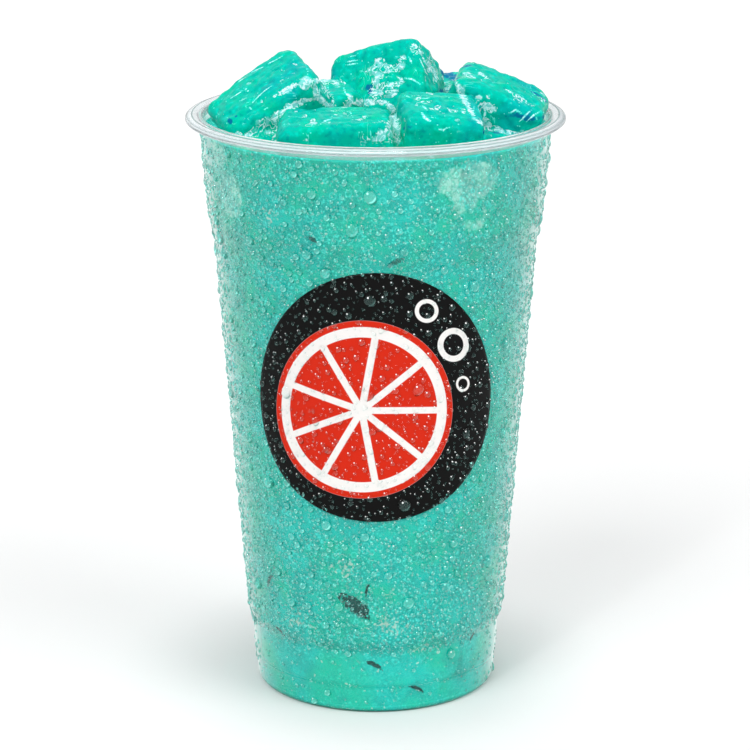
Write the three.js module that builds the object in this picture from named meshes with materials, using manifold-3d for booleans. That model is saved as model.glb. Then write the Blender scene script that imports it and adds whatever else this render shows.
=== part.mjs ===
// A clear plastic cold cup, full of an iced drink and heaped with blocks of ice above its rim.
// Millimetres, +Z up. The origin is the centre of the foot ring, and -Y is the front of the cup.
import * as THREE from 'three';
import { mergeVertices } from 'three/addons/utils/BufferGeometryUtils.js';
import Module from 'manifold-3d';

const wasm = await Module();
wasm.setup();

// Cup
const CUP_HEIGHT = 154;
const WALL = 0.5;
const FLOOR = 0.7;
const PUSH_UP = 3.5; // height of the raised middle of the floor
const PUSH_UP_RADIUS = 26;
const FOOT_INNER = 28.6; // the flat ring that the cup stands on
const FOOT_OUTER = 30.5;
const FOOT_CORNER = 1.3; // radius of the rounded corner outside the foot ring
const WALL_STATIONS = [
  { z: 7.0, r: 32.1 }, // top of the foot band
  { z: 8.0, r: 32.5 },
  { z: 17.5, r: 33.0 }, // foot of the lower stacking ledge
  { z: 20.5, r: 34.1 },
  { z: 121.5, r: 41.85 }, // foot of the upper stacking ledge
  { z: 128.5, r: 43.4 },
  { z: 150.6, r: 45.1 }, // top of the wall, under the rim
];

// Rolled rim: a flattened roll of plastic that hangs out over the wall
const RIM_RADIUS = 49.15;
const RIM_HALF_WIDTH = 2.1;
const RIM_HALF_HEIGHT = 1.05;
const RIM_UNDERCUT = 0.4; // how far the groove under the roll goes up beside the wall
const RIM_GROOVE = 0.35; // depth of the shallow groove on top, between the roll and the lip
const LIP_WIDTH = 0.9; // the rounded lip round the mouth
const RIM_STEPS = 8;

// Drink and ice
const DRINK_LEVEL = 149;
const GAP = 0.3; // clearance between neighbouring solids
const ROUND_STEPS = 60; // facets around the cup
const ICE_STEPS = 5; // facets along each edge of a block
const ICE_SQUARENESS = 7; // power of the rounded block: 2 is an egg, a large power a sharp box
const ICE_UNEVENNESS = 0.014; // melted swell and hollow, as a share of a block's size

// Blocks of ice in the order in which they keep their shape: a later block is cut back from an
// earlier one where the two press together. Angles are degrees about X, Y and Z.
const ICE_BLOCKS = [
  { name: 'ice_left', size: [27.3, 23.5, 20.5], at: [-25.3, -7, 153.8], turn: [22, -27, 24] },
  { name: 'ice_middle', size: [27, 22, 22.5], at: [3.5, 6, 156.5], turn: [-40, -3, -23] },
  { name: 'ice_right', size: [25, 21, 20], at: [29.8, -2, 152.5], turn: [11, 20, -11] },
  { name: 'ice_front', size: [29.5, 19.5, 22], at: [-9.5, -28, 148], turn: [4, -3, 1] },
  { name: 'ice_front_right', size: [20.5, 22, 22], at: [15.5, -23, 150], turn: [12, 6, 7] },
  { name: 'ice_rear_right', size: [20, 20, 20.5], at: [19.5, 22, 148.3], turn: [10, -4, 11] },
  { name: 'ice_rear_left', size: [23, 19, 21], at: [-23.5, 22, 146], turn: [-2, -4, 40] },
  { name: 'ice_rear', size: [21, 20, 22], at: [-1.5, 31, 144], turn: [3, -4, -2] },
  { name: 'ice_between', size: [16, 17, 17], at: [-12.5, -5, 152.6], turn: [12, -8, 30] },
  { name: 'ice_low_front_left', size: [13, 12, 13], at: [-29.5, -20, 146], turn: [8, -6, 35] },
  { name: 'ice_low_front', size: [14, 12.5, 13], at: [30, -18.5, 145.5], turn: [-6, 8, -55] },
  { name: 'ice_low_side', size: [13, 13, 13], at: [32.8, 12.5, 147], turn: [6, 4, 20] },
];

// Materials
const clearPlastic = () => new THREE.MeshStandardMaterial({
  color: '#dfe9ea',
  roughness: 0.12,
  metalness: 0,
});

const turquoiseDrink = () => new THREE.MeshStandardMaterial({
  color: '#3ac5ad',
  roughness: 0.15,
  metalness: 0,
});

const turquoiseIce = () => new THREE.MeshStandardMaterial({
  color: '#17cdb6',
  roughness: 0.2,
  metalness: 0,
});

// Shape helpers
const point = (radius, height) => new THREE.Vector2(radius, height);

// Points along an arc of an ellipse, both ends included.
function arc(centre, radii, fromDegrees, toDegrees, steps) {
  const points = [];
  for (let i = 0; i <= steps; i += 1) {
    const angle = THREE.MathUtils.degToRad(fromDegrees + ((toDegrees - fromDegrees) * i) / steps);
    points.push(point(
      centre.x + radii.x * Math.cos(angle),
      centre.y + radii.y * Math.sin(angle),
    ));
  }
  return points;
}

// Solid of revolution about Z. The profile starts and ends on the axis, the outside first.
function turned(profile) {
  const lathe = new THREE.LatheGeometry(profile, ROUND_STEPS);
  lathe.rotateX(Math.PI / 2);
  return welded(lathe);
}

function welded(geometry) {
  geometry.deleteAttribute('normal');
  geometry.deleteAttribute('uv');
  return mergeVertices(geometry, 1e-4);
}

function toManifold(geometry) {
  return new wasm.Manifold(new wasm.Mesh({
    numProp: 3,
    vertProperties: new Float32Array(geometry.attributes.position.array),
    triVerts: new Uint32Array(geometry.index.array),
  }));
}

function toGeometry(manifold) {
  const mesh = manifold.getMesh();
  const geometry = new THREE.BufferGeometry();
  geometry.setAttribute('position', new THREE.BufferAttribute(mesh.vertProperties, 3));
  geometry.setIndex(new THREE.BufferAttribute(mesh.triVerts, 1));
  return geometry;
}

// The largest body of a cut solid, without the scraps that a cut leaves loose.
function mainBody(manifold) {
  return manifold.decompose().reduce((a, b) => (b.volume() > a.volume() ? b : a));
}

// Inside face of the cup from the middle of the floor to the top of the wall, moved in by inset.
function insideProfile(inset) {
  const corner = point(FOOT_OUTER - inset, FLOOR + FOOT_CORNER);
  const cornerRadii = point(FOOT_CORNER - WALL, FOOT_CORNER - inset);
  return [
    point(0, PUSH_UP + FLOOR + inset),
    point(PUSH_UP_RADIUS, PUSH_UP + FLOOR + inset),
    point(FOOT_INNER, FLOOR + inset),
    ...arc(corner, cornerRadii, -90, 0, 3),
    ...WALL_STATIONS.map(({ z, r }) => point(r - WALL - inset, z)),
  ];
}

// Sub-parts
function cupBody() {
  const rim = point(RIM_RADIUS - RIM_HALF_WIDTH, CUP_HEIGHT - RIM_HALF_HEIGHT);
  const mouth = WALL_STATIONS.at(-1).r - WALL;
  return turned([
    point(0, PUSH_UP),
    point(PUSH_UP_RADIUS, PUSH_UP),
    point(FOOT_INNER, 0),
    ...arc(point(FOOT_OUTER, FOOT_CORNER), point(FOOT_CORNER, FOOT_CORNER), -90, 0, 4),
    ...WALL_STATIONS.map(({ z, r }) => point(r, z)),
    point(WALL_STATIONS.at(-1).r, rim.y - RIM_HALF_HEIGHT + RIM_UNDERCUT),
    ...arc(rim, point(RIM_HALF_WIDTH, RIM_HALF_HEIGHT), -125, 120, RIM_STEPS),
    point(mouth + LIP_WIDTH, CUP_HEIGHT - RIM_GROOVE),
    point(mouth + LIP_WIDTH / 2, CUP_HEIGHT),
    point(mouth, CUP_HEIGHT - RIM_GROOVE),
    ...insideProfile(0).reverse(),
  ]);
}

// A box whose corners are rounded by a power law and whose sides swell and hollow gently.
function iceShape({ size, at, turn }, index, grow) {
  const block = welded(new THREE.BoxGeometry(2, 2, 2, ICE_STEPS, ICE_STEPS, ICE_STEPS));
  const positions = block.attributes.position;
  const q = new THREE.Vector3();
  for (let i = 0; i < positions.count; i += 1) {
    q.fromBufferAttribute(positions, i);
    q.set(...q.toArray().map((v) => Math.sin((v * Math.PI) / 2)));
    const power = q.toArray().reduce((sum, v) => sum + Math.abs(v) ** ICE_SQUARENESS, 0);
    q.divideScalar(power ** (1 / ICE_SQUARENESS));
    const swell = Math.sin(2.1 * q.x + index) + Math.sin(2.7 * q.y + 2 * index)
      + Math.sin(2.4 * q.z + 3 * index);
    q.multiplyScalar(1 + ICE_UNEVENNESS * swell);
    positions.setXYZ(i, ...size.map((s, axis) => q.getComponent(axis) * (s / 2 + grow)));
  }
  return block.applyMatrix4(placement({ at, turn }));
}

function placement({ at, turn }) {
  const turns = new THREE.Euler(...turn.map(THREE.MathUtils.degToRad));
  const quaternion = new THREE.Quaternion().setFromEuler(turns);
  return new THREE.Matrix4().compose(new THREE.Vector3(...at), quaternion, new THREE.Vector3(1, 1, 1));
}

// Every block, cut back from the blocks before it with the gap that neighbours keep.
function iceHeap() {
  const grown = ICE_BLOCKS.map((block, i) => toManifold(iceShape(block, i, GAP)));
  return ICE_BLOCKS.map((block, i) => {
    let solid = toManifold(iceShape(block, i, 0));
    for (const neighbour of grown.slice(0, i)) {
      solid = solid.subtract(neighbour);
    }
    return mainBody(solid);
  });
}

// The drink up to its level, cut round every block of ice.
function drinkBody() {
  const wall = insideProfile(GAP).filter(({ y }) => y < DRINK_LEVEL);
  const edge = point(topWallRadius(DRINK_LEVEL) - WALL - GAP, DRINK_LEVEL);
  let drink = toManifold(turned([...wall, edge, point(0, DRINK_LEVEL)]));
  ICE_BLOCKS.forEach((block, i) => {
    drink = drink.subtract(toManifold(iceShape(block, i, GAP)));
  });
  return mainBody(drink);
}

// Outside radius of the wall at a height in its top stretch.
function topWallRadius(z) {
  const [below, top] = WALL_STATIONS.slice(-2);
  return THREE.MathUtils.mapLinear(z, below.z, top.z, below.r, top.r);
}

function named(name, geometry, material) {
  const mesh = new THREE.Mesh(geometry, material);
  mesh.name = name;
  return mesh;
}

// Assembly
const group = new THREE.Group();
group.add(named('cup', cupBody(), clearPlastic()));
group.add(named('drink', toGeometry(drinkBody()), turquoiseDrink()));

const ice = turquoiseIce();
iceHeap().forEach((solid, i) => {
  const place = placement(ICE_BLOCKS[i]);
  const geometry = toGeometry(solid).applyMatrix4(place.clone().invert());
  const mesh = named(ICE_BLOCKS[i].name, geometry, ice);
  place.decompose(mesh.position, mesh.quaternion, mesh.scale);
  group.add(mesh);
});

export default group;
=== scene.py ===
"""Looks of an iced lemonade in a clear plastic cold cup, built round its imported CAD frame.

The cup, the drink and each block of ice replace their CAD solids with finer surfaces. Condensation
beads, a round print and the gaps between sunken ice are pieces of their own. Metres, +Z up, and -Y
is the front of the cup. Sizes in the classes below are millimetres, turned to metres by MM.
"""

from __future__ import annotations

import itertools
import logging
import math
from dataclasses import dataclass, field
from enum import Enum

import bmesh
import bpy
import numpy as np
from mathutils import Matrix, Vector
from mathutils.bvhtree import BVHTree

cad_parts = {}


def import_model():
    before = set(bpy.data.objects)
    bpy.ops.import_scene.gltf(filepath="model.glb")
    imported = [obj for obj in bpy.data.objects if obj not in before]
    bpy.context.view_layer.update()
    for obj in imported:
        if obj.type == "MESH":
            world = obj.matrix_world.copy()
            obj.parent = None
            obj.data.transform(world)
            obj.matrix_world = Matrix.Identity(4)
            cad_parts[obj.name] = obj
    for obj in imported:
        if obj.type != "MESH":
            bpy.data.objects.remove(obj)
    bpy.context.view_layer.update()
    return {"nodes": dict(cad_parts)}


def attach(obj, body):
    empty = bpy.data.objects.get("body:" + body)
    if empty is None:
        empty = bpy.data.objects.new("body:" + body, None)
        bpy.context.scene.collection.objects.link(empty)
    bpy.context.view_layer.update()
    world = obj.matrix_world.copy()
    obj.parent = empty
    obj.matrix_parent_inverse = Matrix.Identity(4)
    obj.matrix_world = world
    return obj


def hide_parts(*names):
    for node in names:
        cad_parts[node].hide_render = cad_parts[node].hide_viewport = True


LOG = logging.getLogger("iced_lemonade")
MM = 0.001
Tree = bpy.types.NodeTree
Socket = bpy.types.NodeSocket
Material = bpy.types.Material
Mesh = bpy.types.Mesh
Piece = bpy.types.Object
Pixel = tuple[float, float]
Triple = tuple[float, float, float]
Planes = tuple[np.ndarray, np.ndarray]


# Colour and node helpers


def linear(code: str) -> tuple[float, float, float, float]:
    """Turns an sRGB hex value such as #3AC5AD into Blender's linear colour with an alpha of 1."""
    channels = [int(code[i : i + 2], 16) / 255 for i in (1, 3, 5)]
    red, green, blue = (c / 12.92 if c <= 0.04045 else ((c + 0.055) / 1.055) ** 2.4 for c in channels)
    return red, green, blue, 1.0


def add_node(tree: Tree, kind: str, inputs: dict | None = None, **settings) -> bpy.types.Node:
    """Adds one node with its settings, values and links.

    Args:
        tree: The node tree that gets the node.
        kind: Blender's node type, such as ShaderNodeMath.
        inputs: Socket name or number to a number, a hex colour, or the output that feeds it.
        settings: Properties of the node itself.

    Returns:
        The new node.
    """
    node = tree.nodes.new(kind)
    for name, value in settings.items():
        setattr(node, name, value)
    for key, value in (inputs or {}).items():
        if isinstance(value, Value):
            tree.links.new(value.socket, node.inputs[key])
        elif isinstance(value, Socket):
            tree.links.new(value, node.inputs[key])
        else:
            node.inputs[key].default_value = linear(value) if isinstance(value, str) else value
    return node


@dataclass(frozen=True)
class Value:
    """An output in a node tree, which Python's signs combine with other outputs and with numbers."""

    socket: Socket

    def math(self, operation: str, *others: float | Value) -> Value:
        """Puts this value, and others after it, through one operation of the Math node."""
        inputs = dict(enumerate((self, *others)))
        return Value(add_node(self.socket.id_data, "ShaderNodeMath", inputs, operation=operation).outputs[0])

    def __add__(self, other: float | Value) -> Value:
        """The sum of two values."""
        return self.math("ADD", other)

    def __sub__(self, other: float | Value) -> Value:
        """The difference of two values."""
        return self.math("SUBTRACT", other)

    def __mul__(self, other: float | Value) -> Value:
        """The product of two values."""
        return self.math("MULTIPLY", other)

    def ramp(self, low: float, high: float) -> Value:
        """Rises smoothly from 0 to 1 as this value goes from low to high, which may be below low."""
        inputs = {"Value": self, "From Min": low, "From Max": high}
        node = add_node(self.socket.id_data, "ShaderNodeMapRange", inputs, interpolation_type="SMOOTHSTEP")
        return Value(node.outputs["Result"])


def paint(colour: str | Value, *layers: tuple[Value, str | Value]) -> Value:
    """Lays colours over one another.

    Args:
        colour: The lowest colour.
        layers: Each colour over it, after its share, from the lowest up.

    Returns:
        The colour that shows.
    """
    for share, over in layers:
        inputs = {0: share, 6: colour, 7: over}
        colour = Value(add_node(share.socket.id_data, "ShaderNodeMix", inputs, data_type="RGBA").outputs[2])
    return colour


def overlay(tree: Tree, shader: Socket, *layers: tuple[Value, Socket]) -> Socket:
    """Lays shaders over one another, as paint does with colours."""
    for share, over in layers:
        shader = add_node(tree, "ShaderNodeMixShader", {0: share, 1: shader, 2: over}).outputs[0]
    return shader


def pattern(tree: Tree, kind: str, size_mm: float, inputs: dict | None = None, **mapping) -> bpy.types.Node:
    """Adds a texture on Object coordinates whose lumps or cells have a real size.

    Args:
        tree: The node tree.
        kind: The texture's node type.
        size_mm: Size of a lump, or mean spacing of the cells, in millimetres.
        inputs: Other inputs of the texture.
        mapping: Inputs of the Mapping node, by name.

    Returns:
        The texture's node.
    """
    place = add_node(tree, "ShaderNodeTexCoord").outputs["Object"]
    mapped = add_node(tree, "ShaderNodeMapping", {"Vector": place, **mapping}).outputs["Vector"]
    return add_node(tree, kind, {"Vector": mapped, "Scale": 1 / (size_mm * MM), **(inputs or {})})


def noise(
    tree: Tree, grain_mm: float, detail: float = 2.0, stretch: Triple = (1, 1, 1), turn: Triple = (0, 0, 0)
) -> Value:
    """Noise from 0 to 1.

    Args:
        tree: The node tree.
        grain_mm: Size of a lump in millimetres.
        detail: Octaves of finer noise.
        stretch: How many times finer the lumps are along each axis.
        turn: Turn of the pattern in radians.

    Returns:
        The noise.
    """
    node = pattern(tree, "ShaderNodeTexNoise", grain_mm, {"Detail": detail}, Scale=stretch, Rotation=turn)
    return Value(node.outputs["Fac"])


def thin_lines(
    tree: Tree, grain_mm: float, width: float, stretch: Triple = (1, 1, 1), turn: Triple = (0, 0, 0)
) -> Value:
    """Is 1 on the thin curved lines where a noise is within its width of 0.5."""
    centred = noise(tree, grain_mm, 1.5, stretch, turn) - 0.5
    return centred.math("ABSOLUTE").ramp(width, width * 0.4)


def cell_distance(tree: Tree, cell_mm: float, stir: float = 0.0) -> Value:
    """Distance from the nearest of many scattered points, which stir picks: 0 at one, about 0.5 between two."""
    shift = (stir * MM, stir * 0.7 * MM, stir * 1.3 * MM)
    return Value(pattern(tree, "ShaderNodeTexVoronoi", cell_mm, Location=shift).outputs["Distance"])


def object_axes(tree: Tree) -> dict[str, Value]:
    """Object coordinates in metres, by the letter of their axis."""
    place = add_node(tree, "ShaderNodeTexCoord").outputs["Object"]
    outputs = add_node(tree, "ShaderNodeSeparateXYZ", {0: place}).outputs
    return {letter: Value(outputs[letter]) for letter in "XYZ"}


def attribute(tree: Tree, name: str) -> Value:
    """Reads a number stored on a mesh's vertices."""
    return Value(add_node(tree, "ShaderNodeAttribute", attribute_name=name).outputs["Fac"])


def glossy(tree: Tree, inputs: dict) -> Socket:
    """The Principled shader with these inputs."""
    return add_node(tree, "ShaderNodeBsdfPrincipled", inputs).outputs[0]


def let_light_through(tree: Tree, shader: Socket, tint: str) -> Socket:
    """Lets lamps shine through a clear shell: its shadow rays pass with a tint."""
    clear = add_node(tree, "ShaderNodeBsdfTransparent", {"Color": tint}).outputs[0]
    return overlay(tree, shader, (Value(add_node(tree, "ShaderNodeLightPath").outputs["Is Shadow Ray"]), clear))


# Finishes


class Finish:
    """A material, which each finish names and whose shader it draws."""

    name = ""

    def shader(self, tree: Tree) -> Socket:
        """Draws the look into a node tree and returns its shader."""
        raise NotImplementedError

    def material(self) -> Material:
        """Makes the node material."""
        material = bpy.data.materials.new(self.name)
        material.use_nodes = True
        tree = material.node_tree
        tree.nodes.clear()
        add_node(tree, "ShaderNodeOutputMaterial", {"Surface": self.shader(tree)})
        return material


@dataclass(frozen=True)
class ClearPet(Finish):
    """Thermoformed clear PET: a hard, colourless film with a sharp gloss, misted by fine dew."""

    name: str = "clear_pet_thermoformed"
    tint: str = "#F4F8F8"
    haze: str = "#F4FFFC"
    passes: str = "#F2FAF8"
    ior: float = 1.47
    roughness: float = 0.04
    dew_mm: float = 0.55
    dew_height_mm: float = 0.10
    dew_from_mm: float = 17.0
    dew_to_mm: float = 150.0
    mist: float = 0.03
    grazing: float = 1.4

    def shader(self, tree: Tree) -> Socket:
        """Clear glossy film whose bump is dew too fine to model and whose haze at its edges is mist."""
        height = object_axes(tree)["Z"]
        low, high = self.dew_from_mm, self.dew_to_mm
        beaded = height.ramp((low - 2) * MM, (low + 2) * MM) * height.ramp((high + 0.5) * MM, high * MM)
        dew = noise(tree, self.dew_mm, 1.0).ramp(0.45, 0.75) * beaded
        relief = {"Height": dew, "Distance": self.dew_height_mm * MM, "Strength": 0.6}
        bump = add_node(tree, "ShaderNodeBump", relief)
        film = {
            "Base Color": self.tint,
            "Roughness": self.roughness,
            "IOR": self.ior,
            "Transmission Weight": 1.0,
            "Sheen Weight": self.mist,
            "Sheen Roughness": 0.2,
            "Normal": bump.outputs["Normal"],
        }
        facing = Value(add_node(tree, "ShaderNodeLayerWeight", {"Blend": 0.5}).outputs["Facing"])
        haze = add_node(tree, "ShaderNodeBsdfDiffuse", {"Color": self.haze}).outputs[0]
        misted = overlay(tree, glossy(tree, film), (facing.math("POWER", 5.0) * self.grazing, haze))
        return let_light_through(tree, misted, self.passes)


@dataclass(frozen=True)
class RolledPet(Finish):
    """PET rolled into the rim: several thicknesses at once, so it looks white; its grey lines are painted shade
    and its white lines are painted highlights.

    A line has its angle round the roll's section and half its width, in degrees, and its share.
    """

    name: str = "clear_pet_rolled"
    tint: str = "#F3F6F8"
    passes: str = "#E6EEEE"
    ior: float = 1.57
    roughness: float = 0.07
    milk: float = 0.13
    roll_radius_mm: float = 47.05
    roll_level_mm: float = 152.95
    roll_half_mm: tuple[float, float] = (2.1, 1.05)
    # Colours of the lines of painted shade and of painted highlight.
    dark: str = "#718C8A"
    bright: str = "#F8FCFF"
    shade_lines: tuple[Triple, ...] = ((81, 8, 0.55), (37, 6, 0.4), (-4, 8, 0.3))
    highlight_lines: tuple[Triple, ...] = ((60, 12, 0.22), (19, 12, 0.22), (-32, 12, 0.35))

    def shader(self, tree: Tree) -> Socket:
        """Milky glossy film with dark lines of painted shade and bright lines of painted highlight round the
        roll's section.
        """
        drawn = noise(tree, 8.0, 1.0)
        bump = add_node(tree, "ShaderNodeBump", {"Height": drawn, "Distance": 0.3 * MM, "Strength": 0.2})
        film = {
            "Base Color": self.tint,
            "Roughness": self.roughness,
            "IOR": self.ior,
            "Transmission Weight": 1.0 - self.milk,
            "Normal": bump.outputs["Normal"],
        }
        turn = self._turn(tree)
        layers = []
        # Lines of painted shade, then lines of painted highlight, at angles round the roll.
        for code, lines in ((self.dark, self.shade_lines), (self.bright, self.highlight_lines)):
            layer = add_node(tree, "ShaderNodeBsdfDiffuse", {"Color": code}).outputs[0]
            for at, half_width, share in lines:
                away = (turn - math.radians(at)).math("ABSOLUTE")
                line = away.ramp(math.radians(half_width), math.radians(half_width * 0.3)) * share
                layers.append((line, layer))
        return let_light_through(tree, overlay(tree, glossy(tree, film), *layers), self.passes)

    def _turn(self, tree: Tree) -> Value:
        """Angle round the section of the roll, from 0 at its outermost line to a half turn at its innermost."""
        axes = object_axes(tree)
        flat = add_node(tree, "ShaderNodeCombineXYZ", {"X": axes["X"], "Y": axes["Y"]}).outputs[0]
        radius = Value(add_node(tree, "ShaderNodeVectorMath", {0: flat}, operation="LENGTH").outputs["Value"])
        wide, tall = self.roll_half_mm
        up = (axes["Z"] - self.roll_level_mm * MM) * (wide / tall)
        return up.math("ARCTAN2", radius - self.roll_radius_mm * MM)


@dataclass(frozen=True)
class Dew(Finish):
    """Condensed water in beads: clear, with painted shade at its lower rim, a painted glint up on one side and
    a painted gleam of light low on the other.
    """

    name: str = "condensed_water"
    ior: float = 1.33
    roughness: float = 0.02
    clear: str = "#FFFFFF"
    passes: str = "#DCE4E4"
    # Tints of the painted shade at a bead's lower rim, on the drink and on the print.
    shade: str = "#5CC0B4"
    shade_on_print: str = "#86A8A4"
    # Share of a pale glow of painted light inside a bead.
    film: float = 0.25
    # Where a bead's painted glint sits, across and up, in radii of the bead.
    glint_at: tuple[float, float] = (-0.32, 0.50)
    # Share of a painted gleam of light low in a bead.
    gleam: float = 0.75
    # Colour of the painted glow and gleam.
    inner: str = "#98FFF2"
    # Colour of the painted glint.
    glint: str = "#90FFF0"

    def shader(self, tree: Tree) -> Socket:
        """Clear water with painted shade at its lower rim, a painted glow and gleam of light inside it, and a
        painted glint.

        The painted glint is a round spot whose radius, in radii of the bead, is stored on the bead.
        """
        across, up, white = (attribute(tree, f"bead_{name}") for name in ("across", "up", "white"))
        radius = self._length(across, up)
        low = across * 0.6 - up * 0.8
        # Painted shade: the lower rim of the bead is tinted darker.
        rim = radius.ramp(0.80, 0.92) * low.ramp(0.1, 0.6)
        # Painted light: a pale crescent low inside the bead.
        gleam = radius.ramp(0.42, 0.60) * radius.ramp(0.86, 0.74) * low.ramp(0.25, 0.55)
        water = {
            "Base Color": paint(self.clear, (rim, paint(self.shade, (white, self.shade_on_print)))),
            "Roughness": self.roughness,
            "IOR": self.ior,
            "Transmission Weight": 1.0,
        }
        # Painted light: a pale glow inside the bead.
        inside = radius.ramp(0.88, 0.70) * self.film
        lit = (gleam * self.gleam + inside) * attribute(tree, "bead_gleam")
        side, top = self.glint_at
        # Painted highlight: a round glint up on one side.
        spot = (attribute(tree, "bead_glint") - self._length(across - side, up - top)).ramp(0.0, 0.06)
        lamp = glossy(tree, {"Base Color": paint(self.glint, (white, self.clear)), "Roughness": 0.3})
        inner = glossy(tree, {"Base Color": self.inner, "Roughness": 0.3})
        bead = overlay(tree, glossy(tree, water), (lit, inner), (spot, lamp))
        return let_light_through(tree, bead, self.passes)

    def _length(self, across: Value, up: Value) -> Value:
        """Length of a line with these two parts."""
        return (across * across + up * up).math("SQRT")


@dataclass(frozen=True)
class TurquoiseDrink(Finish):
    """Cloudy dyed lemonade pressed against the wall with crushed and whole ice in it."""

    name: str = "cloudy_dyed_lemonade"
    body: str = "#02D6CA"
    # Colour of the painted highlights of fine beads.
    light: str = "#5CFFF6"
    green: str = "#04D4B8"
    # A random darker tone, and the painted shade round fine beads.
    deep: str = "#02B6AE"
    fog: str = "#C8FAEE"
    # Colour of the painted sparkles of fine beads.
    spark: str = "#B0FFF6"
    crystal: str = "#D6E8DC"
    # Colour of the painted shade in gaps between sunken blocks.
    gap_shade: str = "#0F7F78"
    # Colour of thin arcs of painted shade.
    shade_arc: str = "#048C84"
    lump_mm: float = 14.0
    dew_mm: float = 0.95
    ring_mm: float = 3.1
    crystal_mm: float = 1.1
    foot_mm: tuple[float, float] = (12.0, 19.0)

    def shader(self, tree: Tree) -> Socket:
        """A cloudy turquoise seen through dew, paler where ice meets the wall, with the painted highlights and
        shade of beads too fine to model and painted shade in the gaps between sunken blocks.
        """
        lumps = noise(tree, self.lump_mm).ramp(0.42, 0.62)
        shade = noise(tree, 6.0, 3.0, turn=(0.4, 0.2, 0.9)).ramp(0.52, 0.70) * 0.5
        colour = paint(self.green, (lumps, self.body), (shade, self.deep), (self._veil(tree), self.fog))
        flakes = (attribute(tree, "crystal") * 0.22 + noise(tree, self.crystal_mm)).ramp(0.68, 0.78) * 0.8
        # Then crushed ice, and painted shade in the gaps between sunken blocks.
        colour = paint(self._dew(tree, colour), (flakes, self.crystal), (attribute(tree, "gap_shade"), self.gap_shade))
        drink = {
            "Base Color": colour,
            "Roughness": 0.2,
            "IOR": 1.34,
            "Specular IOR Level": 0.15,
            "Subsurface Weight": 0.15,
            "Subsurface Radius": (0.8, 1.0, 0.9),
            "Subsurface Scale": 1 * MM,
        }
        return glossy(tree, drink)

    def _veil(self, tree: Tree) -> Value:
        """Share of the frosted patches of ice against the wall, with a crisp grainy border."""
        border = noise(tree, 2.2, 4.0) * 0.45 + attribute(tree, "fog")
        grain = noise(tree, 1.0).ramp(0.38, 0.60) * 0.55 + 0.38
        return border.ramp(0.60, 0.76) * grain

    def _dew(self, tree: Tree, colour: Value) -> Value:
        """Paints the light and shade of beads too fine to model: painted highlights as soft pale dots, a few
        rings, pale arcs and sparkles, and painted shade as dark rims round the dots and thin dark arcs.
        """
        away = cell_distance(tree, self.dew_mm)
        low, high = self.foot_mm
        above_foot = object_axes(tree)["Z"].ramp(low * MM, high * MM) * 0.65 + 0.35
        thick = noise(tree, 5.0, turn=(0.9, 0.1, 0.3)).ramp(0.36, 0.56) * above_foot
        ring = cell_distance(tree, self.ring_mm, 7.0)
        return paint(
            colour,
            # Painted shade round the dots; painted highlights as dots, rings and arcs; thin arcs of painted
            # shade; painted sparkles.
            (away.ramp(0.36, 0.44) * thick * 0.55, self.deep),
            (away.ramp(0.34, 0.16) * thick * 0.75, self.light),
            (ring.ramp(0.22, 0.27) * ring.ramp(0.34, 0.29) * above_foot * 0.5, self.light),
            (thin_lines(tree, 1.5, 0.022) * thick * 0.55, self.light),
            (thin_lines(tree, 2.1, 0.02, turn=(0.2, 0.7, 0.4)) * 0.25, self.shade_arc),
            (cell_distance(tree, self.dew_mm * 1.4, 3.0).ramp(0.15, 0.09) * thick * 0.8, self.spark),
        )


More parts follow.
